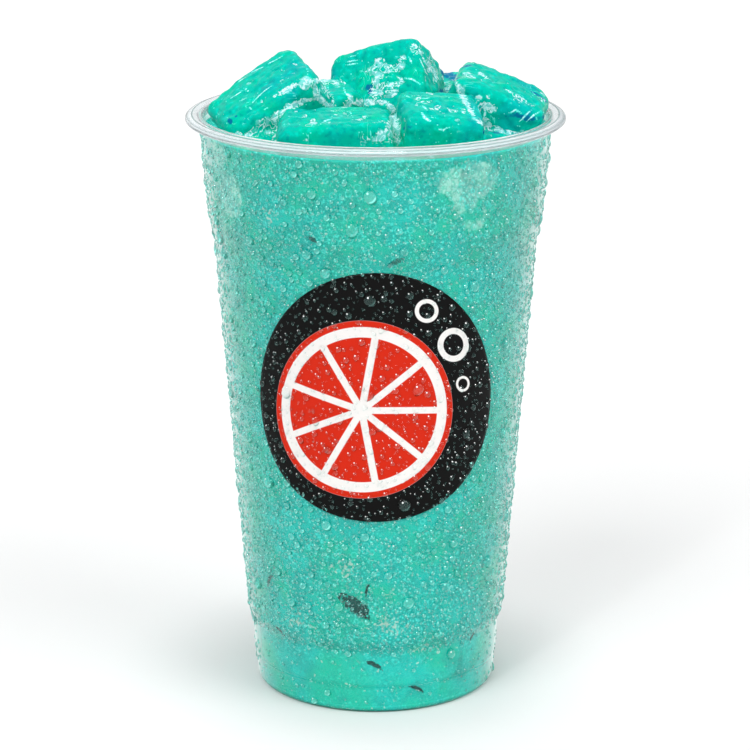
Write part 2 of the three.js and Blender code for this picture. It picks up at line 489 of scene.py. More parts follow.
@dataclass(frozen=True)
class SoakedIce(Finish):
    """Machine-made ice soaked in dyed lemonade: wet, saturated, scratched and frosted where it cracked, with
    painted glints and sparkles.
    """

    name: str = "soaked_machine_ice"
    body: str = "#01BAA4"
    light: str = "#01C09E"
    deep: str = "#02B0A8"
    # Colour of the painted shade in recesses and between blocks.
    blue: str = "#08749C"
    frost: str = "#D6F4F8"
    crushed: str = "#8CDCDE"
    pale: str = "#04E0CC"
    dark: str = "#028C92"
    line: str = "#78FFF6"
    scratch_mm: float = 1.5
    crumb_mm: float = 0.9
    # Spacing of the painted sparkles.
    sparkle_mm: float = 1.7

    def shader(self, tree: Tree) -> Socket:
        """Wet saturated ice with thin pale scratches, painted sparkles and glints, and wrinkled frost."""
        broad = noise(tree, 9.0)
        mottle = noise(tree, 1.5, 3.0, turn=(0.5, 0.2, 0.8))
        frost = attribute(tree, "frost")
        # Painted shade: deep blue in recesses, between blocks and at the back, from the named blue marks and
        # spots.
        blue_shade = attribute(tree, "blue") * 0.45 + noise(tree, 2.2, 3.0)
        cloud = frost * 0.42 + noise(tree, 1.8, 3.0)
        # The named streaks hold scratches and painted glints.
        edge = noise(tree, 0.6, 1.0) * 0.8 + attribute(tree, "streak")
        white = self._white(tree, frost, edge)
        colour = paint(
            self.body,
            (broad.ramp(0.50, 0.66), self.light),
            (broad.ramp(0.46, 0.32), self.deep),
            (mottle.ramp(0.54, 0.70) * 0.5, self.pale),
            (mottle.ramp(0.46, 0.32) * 0.5, self.dark),
            (blue_shade.ramp(0.68, 0.88), self.blue),
            (cloud.ramp(0.70, 0.86) * 0.75, self.crushed),
            (self._pale_lines(tree, edge) * 0.65, self.line),
            (white, self.frost),
        )
        bump = add_node(tree, "ShaderNodeBump", {"Height": white, "Distance": 0.25 * MM, "Strength": 0.2})
        ice = {
            "Base Color": colour,
            "Roughness": 0.10,
            "IOR": 1.31,
            "Specular IOR Level": 0.04,
            "Subsurface Weight": 0.3,
            "Subsurface Radius": (0.5, 1.0, 0.9),
            "Subsurface Scale": 1.5 * MM,
            "Normal": bump.outputs["Normal"],
        }
        return glossy(tree, ice)

    def _white(self, tree: Tree, frost: Value, edge: Value) -> Value:
        """Is 1 on wrinkles and crumbs of frost, and in the middle of the named streaks, which are scratches and
        painted glints.
        """
        wrinkles = thin_lines(tree, 1.5, 0.03) * frost.ramp(0.3, 0.5)
        crumbs = (frost * 0.24 + noise(tree, self.crumb_mm, 3.0)).ramp(0.73, 0.80) * 0.85
        return wrinkles.math("MAXIMUM", crumbs).math("MAXIMUM", edge.ramp(1.20, 1.34))

    def _pale_lines(self, tree: Tree, edge: Value) -> Value:
        """Is 1 on scratches and painted sparkles in patches, and on the named streaks of scratches and painted
        glints.
        """
        patches = noise(tree, 4.5, 1.0)
        along = thin_lines(tree, self.scratch_mm, 0.012, (1.0, 0.7, 0.16), (0.3, 0.9, 0.2))
        across = thin_lines(tree, self.scratch_mm, 0.010, (0.14, 0.8, 1.0), (0.5, -0.4, 0.7))
        dots = cell_distance(tree, self.sparkle_mm).ramp(0.13, 0.09)
        total = edge.ramp(0.84, 0.98)
        for lines, low, high in ((along, 0.64, 0.70), (across, 0.36, 0.30), (dots, 0.46, 0.52)):
            total = total.math("MAXIMUM", lines * patches.ramp(low, high))
        return total


@dataclass(frozen=True)
class PrintInk(Finish):
    """Gloss ink, pad printed on the wall: a black field, a white and red citrus wheel and bubbles.

    A bubble has its centre and its radius in millimetres.
    """

    name: str = "gloss_pad_print_ink"
    black: str = "#0C0C0C"
    white: str = "#F4F1EE"
    red: str = "#D62A12"
    radius_mm: float = 33.4
    wheel_centre_mm: tuple[float, float] = (-3.5, -3.0)
    wheel_mm: float = 24.0
    pith_mm: float = 2.6
    hub_mm: float = 2.6
    edge_mm: float = 0.15
    segments: int = 9
    bubbles_mm: tuple[Triple, ...] = ((20.5, 14.5, 4.6), (13.0, 23.5, 3.2), (23.5, 4.0, 2.2))

    def shader(self, tree: Tree) -> Socket:
        """The print, drawn from distances on the piece's own UV map in millimetres."""
        uv = add_node(tree, "ShaderNodeUVMap", uv_map="print_mm").outputs[0]
        wheel = self._distance(tree, uv, self.wheel_centre_mm).ramp(self.wheel_mm, self.wheel_mm - self.edge_mm)
        colour = paint(self.black, (wheel, self.white), (self._segments(tree, uv, wheel), self.red))
        for x, y, radius in self.bubbles_mm:
            ring = self._ring(self._distance(tree, uv, (x, y)), radius * 0.62, radius)
            colour = paint(colour, (ring, self.white))
        return glossy(tree, {"Base Color": colour, "Roughness": 0.3, "IOR": 1.5, "Specular IOR Level": 0.08})

    def _distance(self, tree: Tree, uv: Socket, centre: tuple[float, float]) -> Value:
        """Distance in millimetres from a point of the print."""
        inputs = {0: uv, 1: (*centre, 0.0)}
        return Value(add_node(tree, "ShaderNodeVectorMath", inputs, operation="DISTANCE").outputs["Value"])

    def _ring(self, distance: Value, inner: float, outer: float) -> Value:
        """Is 1 between two radii, with soft edges."""
        return distance.ramp(inner, inner + self.edge_mm) * distance.ramp(outer, outer - self.edge_mm)

    def _segments(self, tree: Tree, uv: Socket, wheel: Value) -> Value:
        """Is 1 in the wheel's red rind and in each wedge of its flesh.

        A wedge is where the distance to the nearest spoke, the radius times the sine of the angle
        from it, is more than about a third of the pith's width.

        Args:
            tree: The node tree.
            uv: The print's own coordinates.
            wheel: Is 1 inside the whole wheel.

        Returns:
            The red part.
        """
        inputs = {0: uv, 1: (*self.wheel_centre_mm, 0.0)}
        moved = add_node(tree, "ShaderNodeVectorMath", inputs, operation="SUBTRACT").outputs[0]
        axes = add_node(tree, "ShaderNodeSeparateXYZ", {0: moved}).outputs
        distance = self._distance(tree, uv, self.wheel_centre_mm)
        nearest = Value(axes["Y"]).math("ARCTAN2", Value(axes["X"])).math("PINGPONG", math.pi / self.segments)
        wedge = (distance * nearest.math("SINE")).ramp(self.pith_mm * 0.30, self.pith_mm * 0.38)
        flesh = wedge * self._ring(distance, self.hub_mm, self.wheel_mm - self.pith_mm * 1.7)
        rind = self._ring(distance, self.wheel_mm - self.pith_mm * 0.7, self.wheel_mm + 1.0)
        return flesh.math("MAXIMUM", rind * wheel)


@dataclass(frozen=True)
class CreviceShade(Finish):
    """Unlit drink seen through a gap: a dark green that fades at the edges of the gap."""

    name: str = "shaded_drink"
    colour: str = "#005E58"

    def shader(self, tree: Tree) -> Socket:
        """A dark green whose alpha falls to 0 in grains towards the rim of each leaf."""
        grain = attribute(tree, "depth") * 0.35 + noise(tree, 0.7, 3.0)
        alpha = grain.ramp(0.56, 0.76) * attribute(tree, "share")
        inputs = {"Base Color": self.colour, "Roughness": 0.6, "Specular IOR Level": 0.05, "Alpha": alpha}
        return glossy(tree, inputs)


@dataclass(frozen=True)
class PaperSweep(Finish):
    """Matt white paper under the cup."""

    name: str = "white_paper_sweep"
    colour: str = "#E9E9E9"

    def shader(self, tree: Tree) -> Socket:
        """A plain matt white."""
        return glossy(tree, {"Base Color": self.colour, "Roughness": 0.9})


# Shape helpers


def lattice_noise(points: np.ndarray, cell: float, seed: int) -> np.ndarray:
    """Smooth noise from -1 to 1 for each point.

    Random values sit on a cubic lattice, and the eight round a point are blended by the smooth
    step 3 t^2 - 2 t^3 along each axis.

    Args:
        points: Positions, one row each.
        cell: Lattice spacing in the same unit.
        seed: Picks another set of random values.

    Returns:
        One value for each point.
    """
    scaled = points / cell
    base = np.floor(scaled).astype(np.int64)
    part = scaled - base
    part = part * part * (3 - 2 * part)
    total = np.zeros(len(points))
    for corner in itertools.product((0, 1), repeat=3):
        weight = np.prod(np.where(corner, part, 1 - part), axis=1)
        x, y, z = (base + corner).T
        mixed = (x * 73856093) ^ (y * 19349663) ^ (z * 83492791) ^ (seed * 15485863)
        mixed = (mixed ^ (mixed >> 13)) * 1274126177
        total += weight * (((mixed ^ (mixed >> 16)) & 0xFFFF) / 32767.5 - 1)
    return total


def smooth_step(value: np.ndarray, low: float, high: float) -> np.ndarray:
    """Rises from 0 to 1 as 3 t^2 - 2 t^3 while the value goes from low to high."""
    t = np.clip((value - low) / (high - low), 0, 1)
    return t * t * (3 - 2 * t)


def fillet(profile: np.ndarray, radius: float, steps: int = 4) -> np.ndarray:
    """Rounds each corner of an open profile.

    A corner is replaced by the quadratic Bezier curve whose ends lie on its two sides, at most the
    radius away and never past the middle of a side.

    Args:
        profile: Points, one row each.
        radius: Distance of the curve's ends from the corner.
        steps: Points on each curve, less one.

    Returns:
        The rounded profile.
    """
    corner = profile[1:-1]
    sides = (profile[:-2] - corner, profile[2:] - corner)
    start, end = (
        corner + side * np.minimum(radius / np.linalg.norm(side, axis=1), 0.5)[:, None] for side in sides
    )
    t = np.linspace(0, 1, steps + 1)[None, :, None]
    curve = start[:, None] * (1 - t) ** 2 + 2 * corner[:, None] * t * (1 - t) + end[:, None] * t**2
    return np.concatenate([profile[:1], curve.reshape(-1, 2), profile[-1:]])


def ellipse_arc(centre: tuple, radii: tuple, start: float, end: float, steps: int) -> np.ndarray:
    """Points on an ellipse between two angles in degrees, both ends included."""
    angle = np.radians(np.linspace(start, end, steps + 1))
    return np.stack([centre[0] + radii[0] * np.cos(angle), centre[1] + radii[1] * np.sin(angle)], axis=1)


def turned_rings(profile: np.ndarray, sides: int) -> np.ndarray:
    """The ring (r cos a, r sin a, z) for each profile point (r, z), with equal steps of a."""
    angle = np.arange(sides) * 2 * math.pi / sides
    radius, height = profile[:, 0][:, None], profile[:, 1][:, None]
    rings = np.stack([radius * np.cos(angle), radius * np.sin(angle), height + 0 * angle], axis=2)
    return rings.reshape(-1, 3)


def ring_quads(rings: int, sides: int, first: int = 0) -> np.ndarray:
    """Quads between neighbouring rings of vertices, the first of which has the number first."""
    here = np.arange(sides)
    after = (here + 1) % sides
    row = first + np.arange(rings - 1)[:, None] * sides
    corners = [row + here, row + here + sides, row + after + sides, row + after]
    return np.stack(corners, axis=2).reshape(-1, 4)


def pole_fan(pole: int, first: int, sides: int) -> np.ndarray:
    """Triangles from a pole to each side of the ring whose first vertex has the number first."""
    here = np.arange(sides)
    return np.stack([np.full(sides, pole), first + here, first + (here + 1) % sides], axis=1)


def revolve(profile: np.ndarray, sides: int) -> tuple[np.ndarray, list]:
    """Turns a profile round Z into a closed surface, whose first and last points are single poles.

    Args:
        profile: Radius and height, one row each, the outside first.
        sides: Points on each ring.

    Returns:
        Vertex positions and faces.
    """
    rings = turned_rings(profile[1:-1], sides)
    poles = np.array([[0, 0, profile[0, 1]], [0, 0, profile[-1, 1]]])
    quads = ring_quads(len(profile) - 2, sides)[:, [0, 3, 2, 1]]
    bottom = pole_fan(len(rings), 0, sides)[:, [0, 2, 1]]
    top = pole_fan(len(rings) + 1, len(rings) - sides, sides)
    return np.concatenate([rings, poles]), quads.tolist() + bottom.tolist() + top.tolist()


def from_front(angle: np.ndarray, radius: np.ndarray, height: np.ndarray) -> np.ndarray:
    """Points (R sin a, -R cos a, z), whose angle a is measured from the front."""
    return np.stack([radius * np.sin(angle), -radius * np.cos(angle), height], axis=-1)


def read_rows(items: bpy.types.bpy_prop_collection, key: str, width: int = 3) -> np.ndarray:
    """Reads one property of every vertex, face or attribute value of a mesh, one row each."""
    numbers = np.empty(len(items) * width)
    items.foreach_get(key, numbers)
    return numbers.reshape(-1, width)


def link(name: str, data: bpy.types.ID) -> Piece:
    """Makes an object of some data, at the origin, and puts it into the scene."""
    made = bpy.data.objects.new(name, data)
    bpy.context.scene.collection.objects.link(made)
    return made


def new_mesh(name: str, points: np.ndarray, faces: list) -> Mesh:
    """Makes a mesh from vertex positions in metres and the vertex numbers of each face."""
    mesh = bpy.data.meshes.new(name)
    mesh.from_pydata(points, [], faces)
    return mesh


def make_piece(name: str, mesh: Mesh, material: Material, values: dict[str, np.ndarray] | None = None) -> Piece:
    """Turns a mesh into a smooth-shaded piece that rides on the part's one body.

    Args:
        name: The piece's name.
        mesh: Its surface, in metres.
        material: The finish.
        values: Numbers for each vertex that the finish reads, by name.

    Returns:
        The new object, at the origin.
    """
    mesh.polygons.foreach_set("use_smooth", np.ones(len(mesh.polygons), bool))
    for key, numbers in (values or {}).items():
        stored = mesh.attributes.new(key, "FLOAT", "POINT")
        stored.data.foreach_set("value", numbers.astype(np.float32))
    mesh.materials.clear()
    mesh.materials.append(material)
    mesh.update()
    piece = link(name, mesh)
    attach(piece, "root")
    LOG.info("%s: %d faces", name, len(mesh.polygons))
    return piece


# Cup and drink


@dataclass
class Cup:
    """The clear cup: wall with two stacking ledges, foot band, raised floor and rolled rim."""

    height: float = 154.0
    wall: float = 0.5
    floor: float = 0.7
    push_up: float = 3.5
    push_up_radius: float = 26.0
    foot_inner: float = 28.6
    foot_outer: float = 30.5
    foot_corner: float = 1.3
    levels: tuple[float, ...] = (7.0, 8.0, 17.5, 20.5, 121.5, 128.5, 150.6)
    radii: tuple[float, ...] = (32.1, 32.5, 33.0, 34.1, 41.85, 43.4, 45.1)
    rim_radius: float = 49.15
    rim_half_width: float = 2.1
    rim_half_height: float = 1.05
    rim_undercut: float = 0.4
    groove: float = 0.35
    lip_width: float = 0.9
    roll_wall: float = 0.45
    edge_radius: float = 0.8
    segments: int = 240
    finish: ClearPet = field(default_factory=ClearPet)
    rim_finish: RolledPet = field(default_factory=RolledPet)

    def outside(self, level: np.ndarray) -> np.ndarray:
        """Outer radius of the wall at heights in millimetres."""
        radii = (self.foot_outer + self.foot_corner, *self.radii)
        return np.interp(level, (self.foot_corner, *self.levels), radii)

    def inside_profile(self, inset: float) -> np.ndarray:
        """Inner face from the middle of the floor to the top of the wall.

        Args:
            inset: How far the profile stands in from the plastic; below 0 it lies inside it.

        Returns:
            Radius and height in millimetres, one row each.
        """
        raised = self.push_up + self.floor + inset
        floor = [(0, raised), (self.push_up_radius, raised), (self.foot_inner, self.floor + inset)]
        corner_at = (self.foot_outer - inset, self.floor + self.foot_corner)
        corner = ellipse_arc(corner_at, (self.foot_corner - self.wall, self.foot_corner - inset), -90, 0, 6)
        side = np.stack([np.array(self.radii) - self.wall - inset, np.array(self.levels)], axis=1)
        return np.concatenate([floor, corner, side])

    def _rim_centre(self) -> tuple[float, float]:
        """Radius and height of the middle of the rolled rim."""
        return self.rim_radius - self.rim_half_width, self.height - self.rim_half_height

    def profile(self) -> np.ndarray:
        """The whole closed section of the cup, the underside first, in millimetres."""
        centre = self._rim_centre()
        mouth = self.radii[-1] - self.wall
        groove = self.height - self.groove
        foot = ellipse_arc((self.foot_outer, self.foot_corner), (self.foot_corner, self.foot_corner), -90, 0, 6)
        side = np.stack([np.array(self.radii), np.array(self.levels)], axis=1)
        roll = ellipse_arc(centre, (self.rim_half_width, self.rim_half_height), -125, 120, 20)
        undercut = (self.radii[-1], centre[1] - self.rim_half_height + self.rim_undercut)
        lip = [(mouth + self.lip_width, groove), (mouth + self.lip_width / 2, self.height), (mouth, groove)]
        base = [(0, self.push_up), (self.push_up_radius, self.push_up), (self.foot_inner, 0)]
        whole = np.concatenate([base, foot, side, [undercut], roll, lip, self.inside_profile(0)[::-1]])
        return fillet(whole, self.edge_radius)

    def _hollow(self, first: int) -> tuple[np.ndarray, list]:
        """The empty middle of the rolled rim, whose faces look into the hollow.

        Args:
            first: Number of the first vertex.

        Returns:
            Positions in millimetres and faces.
        """
        radii = (self.rim_half_width - self.roll_wall, self.rim_half_height - self.roll_wall)
        section = ellipse_arc(self._rim_centre(), radii, 0, 360, 16)[:-1]
        points = turned_rings(section, self.segments)
        faces = ring_quads(len(section) + 1, self.segments)[:, [3, 0, 1, 2]] % len(points)
        return points, (faces + first).tolist()

    def build(self) -> Piece:
        """Makes the cup, which stands for the CAD cup."""
        points, faces = revolve(self.profile() * MM, self.segments)
        hollow, hollow_faces = self._hollow(len(points))
        mesh = new_mesh("cup_clear_plastic", np.concatenate([points, hollow * MM]), faces + hollow_faces)
        piece = make_piece("cup_clear_plastic", mesh, self.finish.material())
        mesh.materials.append(self.rim_finish.material())
        rolled = read_rows(mesh.polygons, "center")[:, 2] > (self.levels[-1] + 0.2) * MM
        mesh.polygons.foreach_set("material_index", rolled.astype(np.int32))
        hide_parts("cup")
        return piece


# The photo's view


@dataclass(frozen=True)
class PhotoView:
    """The photo's camera, which also tells where one of its pixels meets a surface. Millimetres."""

    side: float = -0.13
    distance: float = 754.0
    height: float = 300.4
    pitch: float = 0.2804
    lens: float = 142.27
    film: float = 36.0
    width_px: int = 750

    def eye(self) -> np.ndarray:
        """Where the camera stands."""
        return np.array([self.side, -self.distance, self.height])

    def ray(self, pixel: Pixel) -> np.ndarray:
        """Direction of the line of sight through a pixel of the photo."""
        focal = self.lens / self.film * self.width_px
        across, up = (pixel[0] - self.width_px / 2) / focal, (self.width_px / 2 - pixel[1]) / focal
        forward = np.array([0, math.cos(self.pitch), -math.sin(self.pitch)])
        above = np.array([0, math.sin(self.pitch), math.cos(self.pitch)])
        direction = forward + np.array([across, 0, 0]) + up * above
        return direction / np.linalg.norm(direction)

    def on_wall(self, cup: Cup, pixel: Pixel) -> tuple[float, float]:
        """Where a pixel shows the wall of the cup, or the point nearest to it.

        Args:
            cup: The cup.
            pixel: Column and row in the photo.

        Returns:
            Angle round from the front in radians, and height.
        """
        away = np.linspace(self.distance - 90, self.distance + 90, 4001)
        points = self.eye() + away[:, None] * self.ray(pixel)
        outside = np.hypot(points[:, 0], points[:, 1]) - cup.outside(points[:, 2])
        first = int(np.argmax(outside < 0)) if (outside < 0).any() else int(np.argmin(outside))
        x, y, z = points[first]
        return math.atan2(x, -y), float(z)

    def on_pieces(self, trees: list[BVHTree], pixel: Pixel) -> np.ndarray | None:
        """Nearest point of some surfaces that a pixel shows, or None where it shows none of them."""
        eye, direction = Vector(self.eye() * MM), Vector(self.ray(pixel))
        hits = [tree.ray_cast(eye, direction) for tree in trees]
        hits = [hit for hit in hits if hit[0] is not None]
        return np.array(min(hits, key=lambda hit: hit[3])[0]) / MM if hits else None

    def build(self) -> None:
        """Makes the camera."""
        camera = link("camera", bpy.data.cameras.new("camera"))
        camera.data.lens = self.lens
        camera.data.sensor_width = self.film
        camera.data.clip_start = 0.01
        camera.data.clip_end = 20.0
        camera.location = self.eye() * MM
        camera.rotation_euler = (math.pi / 2 - self.pitch, 0, 0)
        bpy.context.scene.camera = camera


@dataclass(frozen=True)
class WallPatch:
    """Sunken ice that lies against the wall: its place in the photo, half-sizes in mm and strength."""

    pixel: Pixel
    half_width: float
    half_height: float
    strength: float


@dataclass
class Drink:
    """The drink up to its level, which reaches just into the wall so that no air gap shows."""

    cup: Cup
    view: PhotoView
    level: float = 149.0
    into_wall: float = 0.12
    film_height: float = 1.5
    film_fade: float = 0.8
    ripple: float = 0.25
    segments: int = 300
    rows: int = 230
    fog: dict[str, WallPatch] = field(
        default_factory=lambda: {
            "upper right, crisp": WallPatch((470, 180), 9.5, 5.0, 1.0),
            "upper right, broad": WallPatch((472, 222), 9.0, 7.0, 0.45),
            "upper left": WallPatch((229, 196), 5.5, 6.5, 1.0),
            "upper left, under the rim": WallPatch((217, 150), 5.0, 4.0, 0.8),
            "right edge": WallPatch((512, 270), 5.0, 12.0, 0.35),
            "left edge": WallPatch((228, 330), 4.0, 16.0, 0.30),
        }
    )
    crystals: dict[str, WallPatch] = field(
        default_factory=lambda: {
            "above the main gap": WallPatch((345, 570), 4.0, 3.0, 0.9),
            "low left": WallPatch((301, 621), 4.6, 3.5, 0.9),
            "right of the main gap": WallPatch((390, 625), 6.0, 3.0, 1.0),
            "upper left": WallPatch((265, 215), 3.4, 3.0, 0.8),
            "upper middle": WallPatch((350, 222), 3.0, 1.6, 0.8),
            "low middle": WallPatch((425, 648), 6.0, 3.0, 0.6),
        }
    )
    finish: TurquoiseDrink = field(default_factory=TurquoiseDrink)

    def build(self) -> Piece:
        """Makes the drink, which stands for the CAD drink."""
        points, faces = revolve(self._profile() * MM, self.segments)
        radius = np.hypot(points[:, 0], points[:, 1]) / MM
        edge = self._edge()
        top = (points[:, 2] > (self.level - 0.01) * MM) * smooth_step(radius, edge - 1.0, edge - 5.0)
        points[:, 2] += top * self.ripple * lattice_noise(points, 7 * MM, 3) * MM
        # Pale ice at the wall, painted shade in gaps between sunken blocks, and crushed ice.
        values = {"fog": self._fog(points), "gap_shade": self._gap_shade(points), "crystal": self._crystals(points)}
        mesh = new_mesh("drink_turquoise", points, faces)
        piece = make_piece("drink_turquoise", mesh, self.finish.material(), values)
        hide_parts("drink")
        return piece

    def _profile(self) -> np.ndarray:
        """Section of the drink in millimetres: even rows up its side, a film up the wall, and its surface.

        Inside the film the height over the level falls as exp(-d / fade) with the distance from the wall.
        """
        top = self.level + self.film_height
        wall = self.cup.inside_profile(-self.into_wall)
        foot = np.concatenate([fillet(wall[wall[:, 1] < top], 0.8), [(self._edge(), top)]])
        low = foot[foot[:, 1] <= self.cup.levels[0]]
        heights = np.linspace(self.cup.levels[0], top, self.rows)[1:]
        side = np.stack([np.interp(heights, foot[:, 1], foot[:, 0]), heights], axis=1)
        inwards = np.concatenate([np.linspace(0.2, 4.0, 14), np.linspace(5.0, self._edge(), 34)])
        surface = self.level + self.film_height * np.exp(-inwards / self.film_fade)
        return np.concatenate([low, side, np.stack([self._edge() - inwards, surface], axis=1)])

    def _edge(self) -> float:
        """Radius at the top of the film, just inside the wall's plastic, in millimetres."""
        return float(self.cup.outside(np.array(self.level + self.film_height))) - self.cup.wall + self.into_wall

    def _sum(self, patches: dict[str, WallPatch], points: np.ndarray) -> np.ndarray:
        """Sum over patches of strength times exp(-(a^2 + b^2)), a across and b up in half-sizes."""
        angle, height = np.arctan2(points[:, 0], -points[:, 1]), points[:, 2] / MM
        total = np.zeros(len(points))
        for patch in patches.values():
            middle, level = self.view.on_wall(self.cup, patch.pixel)
            across = (angle - middle) * self.cup.outside(height) / patch.half_width
            up = (height - level) / patch.half_height
            total += patch.strength * np.exp(-(across**2 + up**2))
        return total

    def _behind(self, points: np.ndarray, low: float, high: float) -> np.ndarray:
        """Rises from 0 to 1 as the angle from the front goes from low to high, in degrees."""
        return smooth_step(np.abs(np.degrees(np.arctan2(points[:, 0], -points[:, 1]))), low, high)

    def _fog(self, points: np.ndarray) -> np.ndarray:
        """Paleness where ice lies against the wall: the named patches, and noise behind."""
        behind = self._behind(points, 70, 110) * np.clip(lattice_noise(points, 16 * MM, 8), 0, 1)
        rough = 1 + 0.35 * lattice_noise(points, 3 * MM, 5)
        return np.clip((self._sum(self.fog, points) + 0.8 * behind) * rough, 0, 1)

    def _crystals(self, points: np.ndarray) -> np.ndarray:
        """How much crushed ice shows: the named patches, and noise behind."""
        behind = self._behind(points, 60, 90) * smooth_step(lattice_noise(points, 9 * MM, 31), 0.2, 0.7)
        return np.clip(self._sum(self.crystals, points) + 0.8 * behind, 0, 1)

    def _gap_shade(self, points: np.ndarray) -> np.ndarray:
        """Painted shade in the thin gaps between sunken blocks: high where a broad noise crosses 0."""
        crossing = np.abs(lattice_noise(points, 15 * MM, 21))
        gate = smooth_step(lattice_noise(points, 11 * MM, 22), 0.25, 0.6)
        return 0.35 * (1 - smooth_step(crossing, 0.0, 0.06)) * gate


@dataclass(frozen=True)
class Crevice:
    """A leaf-shaped sheet of painted shade in a gap between sunken blocks at the wall: its place in the photo
    and its size.
    """

    pixel: Pixel
    length: float
    width: float
    tilt: float
    bend: float
    share: float


@dataclass
class Crevices:
    """Dark sheets of painted shade in the gaps that show low in the drink, inside the thickness of the wall."""

    cup: Cup
    view: PhotoView
    rows: int = 24
    columns: int = 12
    seen: dict[str, Crevice] = field(
        default_factory=lambda: {
            "main": Crevice((353, 607), 11.5, 4.4, -38.0, 0.6, 0.9),
            "its wide end": Crevice((363, 612), 4.4, 3.0, 55.0, 0.0, 0.9),
            "stem above it": Crevice((368, 590), 5.4, 0.9, 74.0, 0.3, 0.6),
            "low hook": Crevice((373, 667), 6.6, 1.5, -28.0, 0.8, 0.7),
            "low arc": Crevice((416, 691), 6.6, 1.1, -30.0, 0.8, 0.65),
            "low right": Crevice((473, 636), 4.2, 1.0, 55.0, 0.4, 0.45),
            "low left": Crevice((279, 631), 5.6, 1.1, -32.0, 0.5, 0.45),
            "left": Crevice((270, 582), 7.0, 1.3, 62.0, 0.6, 0.35),
            "upper left": Crevice((312, 240), 3.4, 1.5, -20.0, 0.2, 0.4),
            "upper middle": Crevice((396, 264), 5.6, 1.8, 30.0, 0.5, 0.3),
        }
    )
    behind: int = 7
    share_behind: float = 0.6
    depths: tuple[float, float] = (0.20, 0.30)
    finish: CreviceShade = field(default_factory=CreviceShade)

    def build(self) -> Piece:
        """Makes every leaf as one closed thin piece: those the photo shows, and a few like them behind."""
        gaps = [(*self.view.on_wall(self.cup, gap.pixel), gap) for gap in self.seen.values()]
        rng = np.random.default_rng(12)
        for number in range(self.behind):
            angle = math.radians(95 + 170 * (number + rng.uniform(0, 0.8)) / self.behind)
            size = (rng.uniform(5, 9), rng.uniform(1, 2.6), rng.uniform(-60, 60), rng.uniform(0.2, 0.8))
            gaps.append((angle, rng.uniform(15, 95), Crevice((0, 0), *size, self.share_behind)))
        leaves = [self._leaf(*gap) for gap in gaps]
        faces = np.concatenate([self._faces() + number * len(leaf[0]) for number, leaf in enumerate(leaves)])
        points, depth, share = (np.concatenate(parts) for parts in zip(*leaves))
        mesh = new_mesh("sunken_ice_gap_shade", points * MM, faces.tolist())
        piece = make_piece("sunken_ice_gap_shade", mesh, self.finish.material(), {"depth": depth, "share": share})
        return piece

    def _leaf(self, middle: float, level: float, gap: Crevice) -> tuple[np.ndarray, np.ndarray, np.ndarray]:
        """One leaf: its half-width is width / 2 times sin(pi u)^0.7, and its middle line bends by a parabola.

        Args:
            middle: Angle of its middle from the front, in radians.
            level: Height of its middle.
            gap: Its size.

        Returns:
            Positions in millimetres, and the depth and share of each vertex.
        """
        u, v = np.meshgrid(np.linspace(0.02, 0.98, self.rows), np.linspace(-1, 1, self.columns), indexing="ij")
        along = (u - 0.5) * gap.length
        across = v * gap.width / 2 * np.sin(math.pi * u) ** 0.7 + gap.bend * (1 - (2 * u - 1) ** 2)
        tilt = math.radians(gap.tilt)
        sideways = along * math.cos(tilt) - across * math.sin(tilt)
        height = level + along * math.sin(tilt) + across * math.cos(tilt)
        sheets = [
            from_front(middle + sideways / radius, radius, height).reshape(-1, 3)
            for radius in (self.cup.outside(height) - depth for depth in self.depths)
        ]
        shade = np.tile((np.sin(math.pi * u) * (1 - v**2) ** 0.5).reshape(-1), 2)
        return np.concatenate(sheets), shade, np.full(len(shade), gap.share)

    def _faces(self) -> np.ndarray:
        """Faces of a leaf: an outer sheet, an inner sheet and the strip that joins their rims."""
        grid = np.arange(self.rows * self.columns).reshape(self.rows, self.columns)
        outer = np.stack([grid[:-1, :-1], grid[1:, :-1], grid[1:, 1:], grid[:-1, 1:]], axis=2).reshape(-1, 4)
        rim = np.concatenate([grid[:-1, 0], grid[-1, :-1], grid[:0:-1, -1], grid[0, :0:-1]])
        after = np.roll(rim, -1)
        strip = np.stack([after, rim, rim + grid.size, after + grid.size], axis=1)
        return np.concatenate([outer, outer[:, ::-1] + grid.size, strip])


# Print


